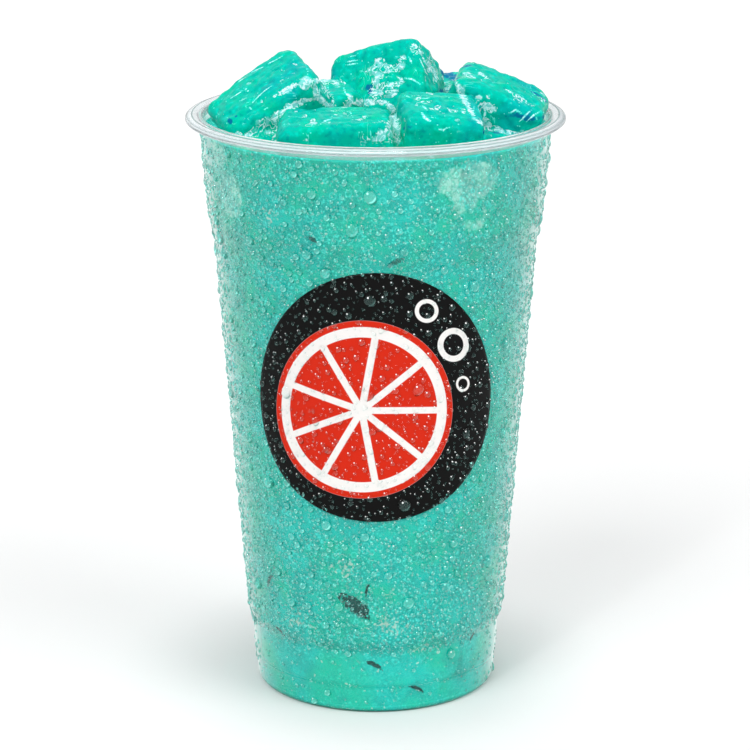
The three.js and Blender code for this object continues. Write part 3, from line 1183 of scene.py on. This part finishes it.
@dataclass
class RoundPrint:
    """The round print on the front: a thin disc of ink that follows the wall."""

    cup: Cup
    level: float = 88.2
    proud: float = 0.05
    embedded: float = 0.10
    droop: float = 0.27
    rings: int = 40
    sides: int = 160
    finish: PrintInk = field(default_factory=PrintInk)

    def build(self) -> Piece:
        """Makes the disc with a UV map that measures millimetres from its centre."""
        radii = np.linspace(0, self.finish.radius_mm, self.rings + 1)[1:]
        rings = turned_rings(np.stack([radii, 0 * radii], axis=1), self.sides)[:, :2]
        flat = np.concatenate([[(0.0, 0.0)], rings])
        points = np.concatenate([self._wrapped(flat, self.proud), self._wrapped(flat, -self.embedded)]) * MM
        mesh = new_mesh("front_print", points, self._faces(len(flat)))
        piece = make_piece("front_print", mesh, self.finish.material())
        layer = mesh.uv_layers.new(name="print_mm")
        corners = np.empty(len(mesh.loops), np.int32)
        mesh.loops.foreach_get("vertex_index", corners)
        layer.data.foreach_set("uv", np.tile(flat, (2, 1))[corners].astype(np.float32).ravel())
        return piece

    def _wrapped(self, flat: np.ndarray, out: float) -> np.ndarray:
        """Bends the flat print round the wall.

        The arc length is x. The height is y less droop times R (1 - cos a), as the print was set to
        look round from the front.
        """
        middle = self.cup.outside(np.array(self.level))
        height = self.level + flat[:, 1] - self.droop * middle * (1 - np.cos(flat[:, 0] / middle))
        radius = self.cup.outside(height)
        return from_front(flat[:, 0] / radius, radius + out, height)

    def _faces(self, layer: int) -> list:
        """Faces of a disc with a front, a back and a rim, whose front has so many vertices."""
        ring = ring_quads(self.rings, self.sides, 1)
        fan = pole_fan(0, 1, self.sides)
        here, after = pole_fan(0, 1 + (self.rings - 1) * self.sides, self.sides)[:, 1:].T
        strip = np.stack([here, here + layer, after + layer, after], axis=1)
        quads = np.concatenate([ring, ring[:, ::-1] + layer, strip])
        return quads.tolist() + fan.tolist() + (fan[:, ::-1] + layer).tolist()


# Condensation


@dataclass(frozen=True)
class BeadKind:
    """One size of bead: how many, how large and how finely made. Sizes are millimetres."""

    name: str
    count: int
    radius: tuple[float, float]
    rings: int
    sides: int
    height: float
    seed: int
    # Radius of a bead's painted glint, in radii of the bead, and the share of beads that have one.
    glint: float
    glinting: float


class Beads(Enum):
    """The sizes of bead on the wall, the largest first."""

    LARGE = BeadKind("beads_large", 150, (1.15, 1.75), 6, 18, 0.60, 4, 0.16, 1.0)
    MEDIUM = BeadKind("beads_medium", 1800, (0.66, 1.05), 3, 12, 0.64, 3, 0.22, 0.8)
    SMALL = BeadKind("beads_small", 5200, (0.46, 0.66), 2, 8, 0.66, 2, 0.28, 0.5)
    SEED = BeadKind("beads_seed", 8000, (0.38, 0.48), 1, 6, 0.68, 1, 0.32, 0.25)
    FINE = BeadKind("beads_fine", 6500, (0.31, 0.38), 1, 6, 0.70, 5, 0.36, 0.16)
    MIST = BeadKind("beads_mist", 5500, (0.25, 0.31), 1, 6, 0.70, 6, 0.42, 0.14)


@dataclass
class Condensation:
    """Beads of water that cover the wall, thinner on the foot band."""

    cup: Cup
    view: PhotoView
    low: float = 2.0
    high: float = 150.3
    sparse_below: float = 17.0
    share_on_foot: float = 0.10
    share_on_print: float = 0.7
    embedded: float = 0.42
    sag: float = 0.16
    mean_radius: float = 39.0
    clear_of_drops: float = 4.0
    print_level: float = 88.0
    print_half: tuple[float, float] = (35.0, 33.0)
    drops: dict[str, tuple[Pixel, float]] = field(
        default_factory=lambda: {
            "left edge, high": ((203, 165), 0.95),
            "left edge, next": ((205, 181), 1.1),
            "left edge, middle": ((217, 220), 1.4),
            "left edge, oval": ((221, 237), 1.7),
            "left edge, low oval": ((225, 253), 1.6),
            "right edge": ((542, 231), 1.3),
            "upper middle": ((370, 197), 1.9),
            "above the print": ((352, 230), 1.9),
            "beside the print": ((404, 252), 1.25),
        }
    )
    finish: Dew = field(default_factory=Dew)

    def build(self) -> list[Piece]:
        """Makes one closed piece for each size; smaller beads keep clear of larger ones."""
        material = self.finish.material()
        taken = np.zeros((0, 3))
        pieces = []
        for kind in (member.value for member in Beads):
            centres = self._centres(kind, taken)
            if kind.radius[1] > 0.5:
                taken = np.concatenate([taken, centres])
            points, faces, values = self._domes(kind, centres)
            piece = make_piece(kind.name, new_mesh(kind.name, points * MM, faces), material, values)
            pieces.append(piece)
        return pieces

    def _centres(self, kind: BeadKind, taken: np.ndarray) -> np.ndarray:
        """Arc angle, height and radius of each bead, spread over a jittered grid on the wall.

        Args:
            kind: The size of bead.
            taken: The same three numbers for the larger beads already placed.

        Returns:
            One row for each bead that is kept.
        """
        rng = np.random.default_rng(kind.seed)
        tall = self.high - self.low
        across = round(math.sqrt(kind.count * 2 * math.pi * self.mean_radius / tall))
        up = round(kind.count / across)
        column, row = np.meshgrid(np.arange(across), np.arange(up), indexing="ij")
        angle = (column + rng.uniform(0, 1, column.shape)) / across * 2 * math.pi - math.pi
        height = self.low + (row + rng.uniform(0, 1, row.shape)) / up * tall
        size = kind.radius[0] + (kind.radius[1] - kind.radius[0]) * rng.uniform(0, 1, row.shape) ** 1.6
        beads = np.stack([angle, height, size], axis=2).reshape(-1, 3)
        if kind is Beads.LARGE.value:
            drops = [(*self.view.on_wall(self.cup, pixel), radius) for pixel, radius in self.drops.values()]
            beside, above, _ = np.array(drops).T
            apart = np.hypot((beads[:, None, 0] - beside) * 40, beads[:, None, 1] - above)
            beads = np.concatenate([beads[apart.min(axis=1) > self.clear_of_drops], drops])
        chance = np.where(beads[:, 1] < self.sparse_below, self.share_on_foot, 1.0)
        chance = np.where(self._on_print(beads) & (kind.radius[1] < 0.7), self.share_on_print, chance)
        beads = beads[(rng.uniform(0, 1, len(beads)) < chance) & self._clear(beads, taken)]
        return beads[beads[:, 1] + beads[:, 2] < self.high]

    def _on_print(self, beads: np.ndarray) -> np.ndarray:
        """Tells which beads lie on the round print."""
        wide, tall = self.print_half
        return np.hypot(beads[:, 0] * self.mean_radius / wide, (beads[:, 1] - self.print_level) / tall) < 1.0

    def _clear(self, beads: np.ndarray, taken: np.ndarray) -> np.ndarray:
        """Tells which beads overlap no larger bead by more than a fifth of their radius."""
        clear = np.ones(len(beads), bool)
        for part in np.array_split(np.arange(len(beads)), 40) if len(taken) else []:
            across = (beads[part, None, 0] - taken[None, :, 0] + math.pi) % (2 * math.pi) - math.pi
            across = across * self.cup.outside(beads[part, 1])[:, None]
            distance = np.hypot(across, beads[part, None, 1] - taken[None, :, 1])
            clear[part] = (distance > taken[None, :, 2] + 0.8 * beads[part, None, 2]).all(axis=1)
        return clear

    def _domes(self, kind: BeadKind, beads: np.ndarray) -> tuple[np.ndarray, list, dict[str, np.ndarray]]:
        """Domes on the wall, each closed by a flat base sunk through the wall into the drink.

        On a dome the distance from the middle is r sin p and the height is h cos p, with p from 0
        at the crown. The last ring is the base. The outline swells by two sine waves, and the crown
        sags down the wall.

        Args:
            kind: The size of bead.
            beads: Arc angle, height and radius of each.

        Returns:
            Positions in millimetres, faces, and the numbers that the finish reads.
        """
        rng = np.random.default_rng(kind.seed + 100)
        count = len(beads)
        steepest = math.radians(52 if kind.rings == 1 else 86)
        polar = np.append(np.linspace(0, steepest, kind.rings + 1)[1:], math.pi / 2)[None, :, None]
        turn = (np.arange(kind.sides) * 2 * math.pi / kind.sides)[None, None, :]
        phase = rng.uniform(0, 2 * math.pi, (2, count, 1, 1))
        outline = 1 + 0.09 * np.sin(2 * turn + phase[0]) + 0.06 * np.sin(3 * turn + phase[1])
        radius = beads[:, 2][:, None, None]
        across = radius * outline * np.sin(polar) * np.cos(turn)
        up = 1.07 * radius * outline * np.sin(polar) * np.sin(turn) - self.sag * radius * np.cos(polar)
        out = kind.height * radius * np.cos(polar) + 0 * turn
        out[:, -1] = -self.embedded
        crown = np.stack([np.zeros(count), -self.sag * beads[:, 2], kind.height * beads[:, 2]], axis=1)
        local = np.stack([across, up, out], axis=3).reshape(count, -1, 3)
        local = np.concatenate([crown[:, None], local], axis=1)
        height = beads[:, 1][:, None] + local[:, :, 1]
        wall = self.cup.outside(height) + local[:, :, 2]
        points = from_front(beads[:, 0][:, None] + local[:, :, 0] / wall, wall, height)
        first = (np.arange(count) * local.shape[1])[:, None, None]
        faces = []
        for part in self._dome_faces(kind):
            faces += (part[None] + first).reshape(-1, part.shape[1]).tolist()
        # Each bead's painted glint, the strength of its painted gleam and glow, and how white its painted glint
        # and shade are.
        glint = kind.glint * (rng.uniform(0, 1, count) < kind.glinting)
        printed = self._on_print(beads)
        gleam = np.where(printed, 0.12, rng.uniform(0.3, 1, count))
        white = np.where(printed, 1.0, rng.uniform(0, 1, count) ** 6)
        scaled = (local / beads[:, 2][:, None, None]).reshape(-1, 3)
        values = {"bead_across": scaled[:, 0], "bead_up": scaled[:, 1]}
        for key, numbers in {"glint": glint, "gleam": gleam, "white": white}.items():
            values[f"bead_{key}"] = np.repeat(numbers, local.shape[1])
        return points.reshape(-1, 3), faces, values

    def _dome_faces(self, kind: BeadKind) -> tuple[np.ndarray, np.ndarray, np.ndarray]:
        """Faces of one dome: quads between rings, a fan at the crown and one face under it."""
        base = 1 + kind.rings * kind.sides + np.arange(kind.sides)[::-1]
        return ring_quads(kind.rings + 1, kind.sides, 1), pole_fan(0, 1, kind.sides), base[None]


# Ice


@dataclass(frozen=True)
class Mark:
    """A mark on the ice in the photo: a path of pixels, its half-width in millimetres and its strength."""

    path: tuple[Pixel, ...]
    half_width: float
    strength: float = 1.0


FROST = {
    "ridge under the left block": Mark(((275, 96), (286, 90), (296, 84), (303, 80)), 1.0, 0.9),
    "knot right of the left block": Mark(((303, 79), (308, 86)), 1.9, 0.9),
    "top edge of the front block": Mark(((280, 117), (285, 110), (294, 105), (304, 101), (312, 99)), 1.0, 0.9),
    "combed foot of the left block": Mark(((264, 122), (270, 132)), 2.9, 0.55),
    "cap of the block between": Mark(((315, 81), (325, 80), (335, 81), (338, 87)), 1.2, 0.9),
    "rim of the block between": Mark(((314, 84), (317, 96), (326, 104), (334, 107)), 1.0, 0.9),
    "strands on the block between": Mark(((322, 86), (330, 96)), 2.0, 0.5),
    "blob on the front block": Mark(((345, 107), (348, 104)), 1.5, 0.85),
    "band behind the front block": Mark(((348, 95), (353, 101), (364, 103), (378, 101), (388, 104)), 1.1, 0.9),
    "band beside the front block": Mark(((388, 104), (394, 112), (391, 122), (386, 131)), 1.2, 0.9),
    "fan at the foot of that band": Mark(((376, 139), (386, 134), (398, 139)), 2.1, 0.75),
    "crater's left wall": Mark(((378, 76), (376, 86), (381, 93)), 1.6, 0.85),
    "crater's upper lip": Mark(((378, 75), (389, 71), (402, 68)), 0.8, 0.8),
    "top right of the middle block": Mark(((414, 47), (422, 52)), 2.0, 0.65),
    "right edge of the middle block": Mark(((424, 60), (431, 67), (437, 75), (434, 81)), 1.5, 0.8),
    "left edge of the right block": Mark(((454, 80), (459, 88), (463, 97), (468, 107), (473, 115)), 1.1, 0.95),
    "left corner of the right block": Mark(((466, 73), (472, 78)), 1.7, 0.7),
    "top of the right block": Mark(((480, 73), (486, 78)), 1.4, 0.6),
    "spark in the right block": Mark(((483, 105), (494, 109)), 1.5, 1.0),
    "foot of the right block": Mark(((475, 119), (488, 124)), 1.7, 0.9),
    "far end of the right block": Mark(((540, 98), (546, 103)), 1.6, 0.6),
    "dotted arc on the right block": Mark(((507, 90), (516, 96), (525, 101)), 1.2, 0.55),
}
# Pale streaks on the ice: scratches, and painted glints on its wet faces.
SCRATCHES_AND_GLINTS = {
    "long scratch": Mark(((271, 86), (262, 93), (252, 103)), 0.35),
    "upper edge scratch": Mark(((283, 56), (268, 64)), 0.35),
    "next edge scratch": Mark(((263, 67), (252, 72)), 0.4),
    "third edge scratch": Mark(((246, 77), (238, 82)), 0.4),
    "pale blob": Mark(((246, 89), (248, 91)), 0.6),
    "hooked scratch": Mark(((228, 96), (231, 98), (236, 95), (242, 91)), 0.35),
    "short scratch": Mark(((240, 101), (246, 98)), 0.35),
    "small blob": Mark(((250, 108), (251, 109)), 0.5),
    "second small blob": Mark(((265, 109), (267, 108)), 0.5),
    "dots down the right edge": Mark(((305, 63), (307, 69), (308, 74)), 0.35),
    "streak on the front block": Mark(((321, 124), (325, 121), (331, 119)), 0.45),
    "hook on the front block": Mark(((345, 111), (350, 112), (353, 117)), 0.4),
    "strand 1": Mark(((320, 88), (319, 95)), 0.35),
    "strand 2": Mark(((327, 84), (329, 93)), 0.35),
    "strand 3": Mark(((343, 84), (345, 92), (350, 98)), 0.4),
    "upper line on the middle block": Mark(((346, 62), (359, 60)), 0.3),
    "lower line on the middle block": Mark(((346, 65), (359, 63)), 0.3),
    "third line on the middle block": Mark(((349, 57), (357, 55)), 0.3),
    "bright core of the crater": Mark(((389, 86), (393, 83)), 0.8),
    "arc right of the crater": Mark(((401, 78), (412, 79), (420, 84)), 0.35),
    "squiggle": Mark(((405, 95), (409, 97), (412, 96)), 0.4),
    "twin lines": Mark(((415, 99), (430, 98)), 0.3),
    "steep streaks top right": Mark(((409, 57), (412, 63)), 0.4),
    "steep streak": Mark(((420, 59), (424, 68)), 0.4),
    "upper glint": Mark(((423, 106), (427, 110)), 0.55),
    "crescent glint": Mark(((422, 113), (425, 118), (430, 121)), 0.6),
    "small glint": Mark(((431, 116), (434, 119)), 0.35),
    "wavy line": Mark(((437, 129), (443, 130), (449, 127)), 0.35),
    "spark's upper star": Mark(((477, 97), (481, 98)), 0.8),
    "spark's streak 1": Mark(((478, 106), (480, 113)), 0.45),
    "spark's streak 2": Mark(((486, 110), (484, 117)), 0.45),
    "spark's streak 3": Mark(((474, 107), (472, 114)), 0.4),
    "ring at the right": Mark(((531, 90), (534, 94), (531, 97)), 0.35),
    "hatch 1": Mark(((520, 121), (527, 114), (533, 109)), 0.35),
    "hatch 2": Mark(((527, 121), (534, 115), (541, 111)), 0.35),
    "hatch 3": Mark(((509, 113), (516, 110), (521, 113)), 0.35),
}
# Deep blue on the ice: painted shade in the gaps and recesses between blocks.
BLUE = {
    "spot left of the crater": Mark(((368, 87), (372, 91)), 1.3, 0.95),
    "spot low on the left block": Mark(((233, 115), (236, 116)), 0.9, 0.9),
    "second spot on the left block": Mark(((229, 119), (231, 123)), 0.9, 0.7),
    "corner behind": Mark(((443, 72), (450, 76), (456, 80)), 2.4, 1.0),
    "top edge of the front right block": Mark(((438, 92), (450, 90)), 0.8, 0.9),
    "foot of the right block": Mark(((484, 131), (496, 133), (506, 131)), 1.2, 0.8),
    "spots in the right block": Mark(((506, 116), (517, 114)), 0.9, 0.85),
    "line between the hatches": Mark(((524, 117), (531, 111)), 0.5, 0.9),
    "top left of the right block": Mark(((463, 67), (472, 65)), 1.0, 0.5),
    "low on the front right block": Mark(((404, 128), (411, 127)), 0.9, 0.55),
    "strokes at the far right": Mark(((532, 92), (541, 97), (549, 103)), 0.9, 0.7),
    "strokes low on the right block": Mark(((518, 116), (530, 119), (545, 117)), 0.8, 0.75),
    "top right slope": Mark(((503, 74), (511, 78)), 0.8, 0.5),
    "gap beside the right block": Mark(((452, 82), (459, 95), (464, 106)), 0.6, 0.6),
}


@dataclass
class IceHeap:
    """The blocks above the drink, each made finer from its CAD solid and given relief."""

    nodes: dict[str, Piece]
    view: PhotoView
    voxel: float = 0.36
    smoothing: int = 3
    lumps: float = 0.30
    pebbles: float = 0.32
    scallops: float = 0.35
    contact: float = 1.8
    melt_grow: float = 0.45
    melt_voxel: float = 0.55
    melt_smoothing: int = 40
    melt_sink: float = 0.75
    crater_in: str = "ice_middle"
    crater_at: Triple = (2.9, -4.2, 162.8)
    crater_radius: float = 4.5
    crater_depth: float = 1.3
    finish: SoakedIce = field(default_factory=SoakedIce)

    def build(self) -> list[Piece]:
        """Makes every block, which stands for its CAD block, and the frozen melt between them."""
        material = self.finish.material()
        names = sorted(name for name in self.nodes if name.startswith("ice_"))
        planes = {name: self._planes(self.nodes[name].data) for name in names}
        pieces = []
        for number, name in enumerate(names):
            others = [planes[other] for other in names if other != name]
            pieces.append(self._block(name, number, others, material))
        pieces.append(self._melt(names, list(planes.values()), material))
        self._mark(pieces)
        return pieces

    def _planes(self, mesh: Mesh) -> Planes:
        """Normal and offset of each face of a CAD block."""
        normals, centres = read_rows(mesh.polygons, "normal"), read_rows(mesh.polygons, "center")
        return normals, (normals * centres).sum(axis=1)

    def _gap(self, points: np.ndarray, planes: list[Planes]) -> np.ndarray:
        """Distance in millimetres from each point to the nearest of some blocks, below 0 inside it."""
        return np.min([(points @ normals.T - offsets).max(axis=1) for normals, offsets in planes], axis=0) / MM

    def _block(self, name: str, number: int, others: list[Planes], material: Material) -> Piece:
        """Makes one block.

        Args:
            name: The CAD block's name.
            number: Seed of its relief.
            others: Planes of the other blocks.
            material: The finish.

        Returns:
            The finer block, with frost where it nearly touches another.
        """
        mesh = self._fine_mesh([self.nodes[name]], 0.0, self.voxel, self.smoothing)
        points, normals = self._vertices(mesh)
        gap = self._gap(points, others)
        relief = self._relief(points, number)
        if name == self.crater_in:
            away = np.linalg.norm(points / MM - np.array(self.crater_at), axis=1) / self.crater_radius
            relief -= self.crater_depth * np.exp(-(away**2))
        mesh.vertices.foreach_set("co", (points + normals * relief[:, None] * MM).ravel())
        patches = 0.75 * smooth_step(lattice_noise(points, 6 * MM, number + 160), 0.25, 0.8)
        unseen = smooth_step(points[:, 1], 4 * MM, 14 * MM)
        frost = np.maximum(0.6 * (1 - smooth_step(gap, 0.2, self.contact)), patches * unseen)
        piece = self._dress(f"{name}_soaked", mesh, frost, material)
        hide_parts(name)
        return piece

    def _melt(self, names: list[str], planes: list[Planes], material: Material) -> Piece:
        """Crushed ice and melt that fills the grooves between the blocks.

        All blocks are swollen, fused and smoothed until their grooves fill, and then sunk, so that
        the surface shows in the grooves alone.

        Args:
            names: The CAD blocks' names.
            planes: Planes of every block.
            material: The finish.

        Returns:
            The melt.
        """
        blocks = [self.nodes[name] for name in names]
        mesh = self._fine_mesh(blocks, self.melt_grow, self.melt_voxel, self.melt_smoothing)
        points, normals = self._vertices(mesh)
        nearest = self._gap(points, planes)
        rough = 0.45 * lattice_noise(points, 2.2 * MM, 60) + 0.2 * lattice_noise(points, 1.0 * MM, 61)
        sink = self.melt_sink - rough * smooth_step(nearest, -0.3, 0.6)
        mesh.vertices.foreach_set("co", (points - normals * sink[:, None] * MM).ravel())
        frost = np.clip(0.45 + 0.5 * lattice_noise(points, 4 * MM, 62), 0, 1)
        return self._dress("ice_melt", mesh, frost, material)

    def _vertices(self, mesh: Mesh) -> tuple[np.ndarray, np.ndarray]:
        """Positions and normals of a mesh's vertices."""
        return read_rows(mesh.vertices, "co"), read_rows(mesh.vertex_normals, "vector")

    def _mark(self, pieces: list[Piece]) -> None:
        """Stores the photo's frost, streaks of scratches and painted glints, and blue painted shade on the
        pieces that show them.
        """
        bpy.context.view_layer.update()
        depsgraph = bpy.context.evaluated_depsgraph_get()
        trees = [BVHTree.FromObject(piece, depsgraph) for piece in pieces]
        for key, marks in {"frost": FROST, "streak": SCRATCHES_AND_GLINTS, "blue": BLUE}.items():
            paths = [(mark, self._path(mark, trees)) for mark in marks.values()]
            for piece in pieces:
                stored = piece.data.attributes[key].data
                numbers = read_rows(stored, "value", 1)[:, 0]
                points = read_rows(piece.data.vertices, "co") / MM
                for mark, path in paths:
                    numbers = np.maximum(numbers, self._strength(mark, path, points))
                stored.foreach_set("value", numbers.astype(np.float32))

    def _path(self, mark: Mark, trees: list[BVHTree]) -> np.ndarray:
        """Points on the ice along a mark, about a pixel and a half apart."""
        corners = np.array(mark.path, float)
        hits = []
        for start, end in zip(corners[:-1], corners[1:]):
            for share in np.linspace(0, 1, max(2, round(np.linalg.norm(end - start) / 1.5))):
                hits.append(self.view.on_pieces(trees, tuple(start + (end - start) * share)))
        return np.array([hit for hit in hits if hit is not None])

    def _strength(self, mark: Mark, path: np.ndarray, points: np.ndarray) -> np.ndarray:
        """Strength of a mark at each point: exp(-(d / w)^4), with d from its path.

        The half-width w falls to 0.6 of itself at both ends of the path, as 0.6 + 0.4 sin(pi s).
        """
        strength = np.zeros(len(points))
        reach = 1.6 * mark.half_width
        near = ((points > path.min(axis=0) - reach) & (points < path.max(axis=0) + reach)).all(axis=1)
        if near.any():
            width = mark.half_width * (0.6 + 0.4 * np.sin(math.pi * np.linspace(0, 1, len(path))))
            away = (np.linalg.norm(points[near][:, None] - path[None], axis=2) / width).min(axis=1)
            strength[near] = mark.strength * np.exp(-(away**4))
        return strength

    def _relief(self, points: np.ndarray, number: int) -> np.ndarray:
        """Relief in millimetres: broad lumps, sharp-edged scallops and fine wet pebbles."""
        lumps = self.lumps * lattice_noise(points, 5.5 * MM, number)
        ridges = 1 - 2 * np.abs(lattice_noise(points, 4.0 * MM, number + 40))
        gate = smooth_step(lattice_noise(points, 8 * MM, number + 80), -0.1, 0.5)
        scallops = self.scallops * np.clip(ridges, -1, 0.6) * gate
        pebbles = self.pebbles * lattice_noise(points, 1.7 * MM, number + 120)
        return lumps + scallops + pebbles

    def _dress(self, name: str, mesh: Mesh, frost: np.ndarray, material: Material) -> Piece:
        """Makes a piece of a mesh, with the numbers that the finish reads and blue spots of painted shade at
        the back.
        """
        points = read_rows(mesh.vertices, "co")
        spots = smooth_step(lattice_noise(points, 6 * MM, 7), 0.5, 0.85)
        blue = 0.7 * spots * smooth_step(points[:, 1], 10 * MM, 16 * MM)
        piece = make_piece(name, mesh, material, {"frost": frost, "blue": blue, "streak": 0 * frost})
        return piece

    def _fine_mesh(self, nodes: list[Piece], grow: float, voxel: float, smoothing: int) -> Mesh:
        """Copies CAD blocks, merges and fuses them, remeshes them in small even faces and smooths.

        Args:
            nodes: The CAD blocks.
            grow: How far each is swollen before they are fused, in millimetres.
            voxel: Size of the new faces in millimetres.
            smoothing: Rounds of smoothing.

        Returns:
            The new mesh.
        """
        joined = bmesh.new()
        for node in nodes:
            joined.from_mesh(node.data)
        bmesh.ops.remove_doubles(joined, verts=joined.verts, dist=0.01 * MM)
        joined.normal_update()
        for vertex in joined.verts:
            vertex.co += vertex.normal * grow * MM
        mesh = bpy.data.meshes.new("ice_worker")
        joined.to_mesh(mesh)
        joined.free()
        worker = link("ice_worker", mesh)
        remesh = worker.modifiers.new("remesh", "REMESH")
        remesh.mode = "VOXEL"
        remesh.voxel_size = voxel * MM
        smooth = worker.modifiers.new("smooth", "SMOOTH")
        smooth.factor = 0.5
        smooth.iterations = smoothing
        bpy.context.view_layer.update()
        evaluated = worker.evaluated_get(bpy.context.evaluated_depsgraph_get())
        fine = bpy.data.meshes.new_from_object(evaluated)
        bpy.data.objects.remove(worker)
        bpy.data.meshes.remove(mesh)
        return fine


# Studio


@dataclass(frozen=True)
class Lamp:
    """A distant soft light: its direction from the cup, its strength, and the angle it fills in degrees."""

    towards: Triple
    strength: float
    width: float


@dataclass
class Studio:
    """Plain pale floor and soft light from all round. Millimetres."""

    floor_radius: float = 20000.0
    floor_sides: int = 64
    world_strength: float = 0.42
    finish: PaperSweep = field(default_factory=PaperSweep)
    lamps: dict[str, Lamp] = field(
        default_factory=lambda: {
            "key": Lamp((-0.45, -0.65, 0.85), 1.0, 30),
            "glint": Lamp((-0.40, -0.75, 0.60), 0.3, 5),
            "fill": Lamp((0.75, -0.50, 0.70), 1.0, 40),
            "overhead": Lamp((0.02, -0.03, 1.00), 1.1, 18),
            "rear": Lamp((-0.30, 0.90, 0.60), 0.5, 60),
        }
    )

    def build(self) -> None:
        """Makes the floor, the lights and the world."""
        self._floor()
        self._world()
        for name, lamp in self.lamps.items():
            self._sun(name, lamp)

    def _floor(self) -> None:
        """A plain white disc."""
        rim = turned_rings(np.array([(self.floor_radius * MM, 0.0)]), self.floor_sides)
        mesh = new_mesh("floor", rim, [list(range(self.floor_sides))])
        mesh.materials.append(self.finish.material())
        floor = link("floor", mesh)

    def _world(self) -> None:
        """An even white sky."""
        world = bpy.data.worlds.new("studio_white")
        world.use_nodes = True
        sky = world.node_tree.nodes["Background"].inputs
        sky["Color"].default_value = (1, 1, 1, 1)
        sky["Strength"].default_value = self.world_strength
        bpy.context.scene.world = world

    def _sun(self, name: str, lamp: Lamp) -> None:
        """Makes one lamp and turns it towards the cup."""
        sun = bpy.data.lights.new(name, "SUN")
        sun.energy = lamp.strength
        sun.angle = math.radians(lamp.width)
        x, y, z = lamp.towards
        link(name, sun).rotation_euler = (math.atan2(math.hypot(x, y), z), 0, math.atan2(x, -y))


def main() -> None:
    """Builds the cup, its contents, the print, the condensation and the studio, in that order, and then the
    camera.
    """
    logging.basicConfig(level=logging.INFO, format="%(name)s: %(message)s")
    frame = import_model()
    bpy.context.scene.view_settings.view_transform = "Standard"
    cup = Cup()
    cup.build()
    view = PhotoView()
    Drink(cup, view).build()
    Crevices(cup, view).build()
    IceHeap(frame["nodes"], view).build()
    RoundPrint(cup).build()
    Condensation(cup, view).build()
    Studio().build()
    view.build()


if __name__ == "__main__":
    main()
